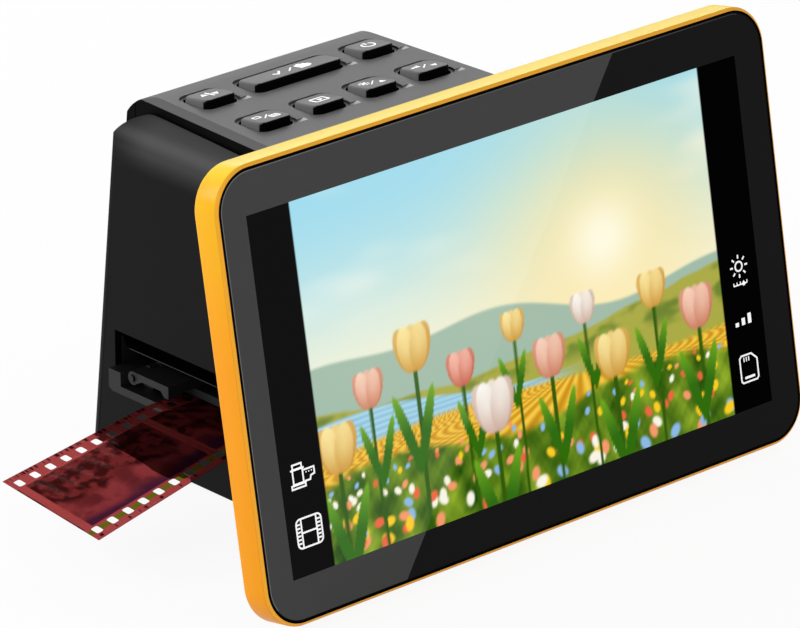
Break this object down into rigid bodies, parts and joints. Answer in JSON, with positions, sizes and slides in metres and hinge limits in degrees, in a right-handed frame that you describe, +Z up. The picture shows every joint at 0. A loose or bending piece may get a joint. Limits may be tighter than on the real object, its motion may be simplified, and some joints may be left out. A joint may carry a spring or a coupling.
{
  "type": "film negative scanner",
  "caption": "Desktop film and negative scanner: large display leaning back in a bright bezel on a black body with push buttons and a side slot for a hinged film tray.",
  "frame": {"origin": "on the table plane, straight below the optical axis, in the body's plane of symmetry", "axes": "+X to the right along the display, +Y to the rear, +Z up"},
  "size_m": [0.1796, 0.1209, 0.1091],
  "materials": {
    "yellow_bezel": "satin moulded, warm yellow",
    "black_glass": "polished, black printed border",
    "display_metal": "rolled panel frame",
    "circuit_board": "solder mask, semi-gloss",
    "black_shell": "fine satin texture, black",
    "grey_panel": "satin, charcoal",
    "dark_plastic": "matt black",
    "button_cap": "satin, charcoal with white print",
    "tray_plastic": "matt black, light wear",
    "rubber": "matt",
    "steel": "zinc plated",
    "anodised_metal": "black anodised",
    "switch_metal": "tin plated sheet",
    "ribbon": "amber flexible film",
    "white_board": "white solder mask",
    "led_lens": "clear over phosphor",
    "white_plastic": "matt white reflector",
    "opal_diffuser": "opal acrylic",
    "lens_glass": "coated",
    "sensor_glass": "cover glass over silicon",
    "chip_package": "moulded epoxy",
    "film": "translucent developed film"
  },
  "bodies": {
    "root": {"display_frame": "yellow_bezel", "display_glass": "black_glass", "lcd_panel": "display_metal", "display_board": "circuit_board", "display_rear_cover": "black_shell", "display_screws": "steel", "display_mount_plate": "dark_plastic", "mount_screws": "steel", "ribbon_cable": "ribbon", "top_panel": "grey_panel", "rear_panel": "black_shell", "left_shell": "black_shell", "right_shell": "black_shell", "base_plate": "dark_plastic", "base_screws": "steel", "rubber_feet": "rubber", "button_board": "circuit_board", "key_switches": "switch_metal", "button_board_screws": "steel", "led_board": "white_board", "light_leds": "led_lens", "light_box": "white_plastic", "diffuser": "opal_diffuser", "film_gate": "dark_plastic", "upper_jaw": "dark_plastic", "camera_housing": "dark_plastic", "camera_screws": "steel", "lens_holder": "dark_plastic", "lens_barrel": "anodised_metal", "front_lens": "lens_glass", "rear_lens": "lens_glass", "image_sensor": "sensor_glass", "sensor_board": "circuit_board", "sensor_screws": "steel", "main_board": "circuit_board", "processor": "chip_package", "usb_c_socket": "switch_metal", "video_socket": "switch_metal", "card_socket": "switch_metal", "main_board_screws": "steel"},
    "flip_button_body": {"flip_button": "button_cap"},
    "capture_button_body": {"capture_button": "button_cap"},
    "power_button_body": {"power_button": "button_cap"},
    "film_type_button_body": {"film_type_button": "button_cap"},
    "gallery_button_body": {"gallery_button": "button_cap"},
    "up_button_body": {"up_button": "button_cap"},
    "down_button_body": {"down_button": "button_cap"},
    "tray": {"film_tray": "tray_plastic", "tray_hinge_pin": "steel"},
    "cover": {"tray_cover": "tray_plastic"},
    "film": {"film_strip": "film"}
  },
  "joints": [
    {"name": "flip_press", "type": "slide", "parent": "root", "child": "flip_button_body", "axis": [0, 0, -1], "range_m": [0, 0.0008], "stiffness_N_per_m": 1500},
    {"name": "capture_press", "type": "slide", "parent": "root", "child": "capture_button_body", "axis": [0, 0, -1], "range_m": [0, 0.0008], "stiffness_N_per_m": 1500},
    {"name": "power_press", "type": "slide", "parent": "root", "child": "power_button_body", "axis": [0, 0, -1], "range_m": [0, 0.0008], "stiffness_N_per_m": 1500},
    {"name": "film_type_press", "type": "slide", "parent": "root", "child": "film_type_button_body", "axis": [0, 0, -1], "range_m": [0, 0.0008], "stiffness_N_per_m": 1500},
    {"name": "gallery_press", "type": "slide", "parent": "root", "child": "gallery_button_body", "axis": [0, 0, -1], "range_m": [0, 0.0008], "stiffness_N_per_m": 1500},
    {"name": "up_press", "type": "slide", "parent": "root", "child": "up_button_body", "axis": [0, 0, -1], "range_m": [0, 0.0008], "stiffness_N_per_m": 1500},
    {"name": "down_press", "type": "slide", "parent": "root", "child": "down_button_body", "axis": [0, 0, -1], "range_m": [0, 0.0008], "stiffness_N_per_m": 1500},
    {"name": "tray_slide", "type": "slide", "parent": "root", "child": "tray", "axis": [-1, 0, 0], "range_m": [0, 0.06]},
    {"name": "cover_hinge", "type": "hinge", "parent": "tray", "child": "cover", "pos_m": [0, 0.0264, 0.0242], "axis": [-1, 0, 0], "range_deg": [0, 4]},
    {"name": "film_feed", "type": "slide", "parent": "tray", "child": "film", "axis": [-1, 0, 0], "range_m": [0, 0.038]}
  ]
}
